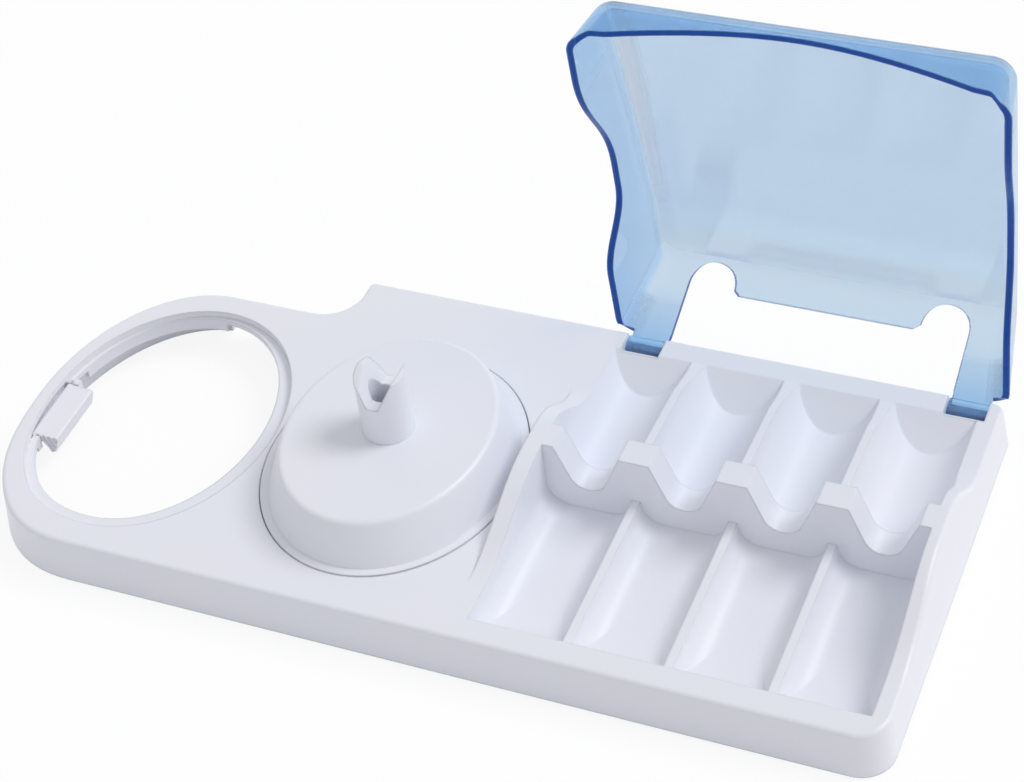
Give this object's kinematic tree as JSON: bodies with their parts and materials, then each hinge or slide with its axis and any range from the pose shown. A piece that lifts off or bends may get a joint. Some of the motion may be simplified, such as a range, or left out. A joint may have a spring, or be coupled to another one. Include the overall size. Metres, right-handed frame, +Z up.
{
  "type": "electric toothbrush holder",
  "caption": "Countertop holder with an oval charger ring, a raised handle pedestal with a notched post, and brush head compartments under a hinged see-through lid.",
  "frame": {"origin": "on the table under the middle of the whole holder with its lid open as stored", "axes": "+X to the right along the tray, from the charger ring to the compartments; +Y to the back, where the lid's hinge is; +Z up"},
  "size_m": [0.218, 0.1232, 0.1044],
  "materials": {
    "white_plastic": "satin moulded white",
    "clear_blue": "see-through blue",
    "steel_pin": "drawn wire",
    "foot_rubber": "soft grey"
  },
  "bodies": {
    "tray": {"tray_shell": "white_plastic", "handle_pedestal": "white_plastic", "hinge_pins": "steel_pin", "rubber_feet": "foot_rubber"},
    "clip": {"charger_clip": "white_plastic"},
    "cover": {"lid": "clear_blue"}
  },
  "joints": [
    {"name": "lid_hinge", "type": "hinge", "parent": "tray", "child": "cover", "pos_m": [0.0618, 0.0372, 0.0085], "axis": [1, 0, 0], "range_deg": [0, 81.5]},
    {"name": "clip_flex", "type": "hinge", "parent": "tray", "child": "clip", "pos_m": [-0.1032, -0.0218, 0.0087], "axis": [0, 1, 0], "range_deg": [0, 10], "stiffness_Nm_per_rad": 0.05}
  ]
}
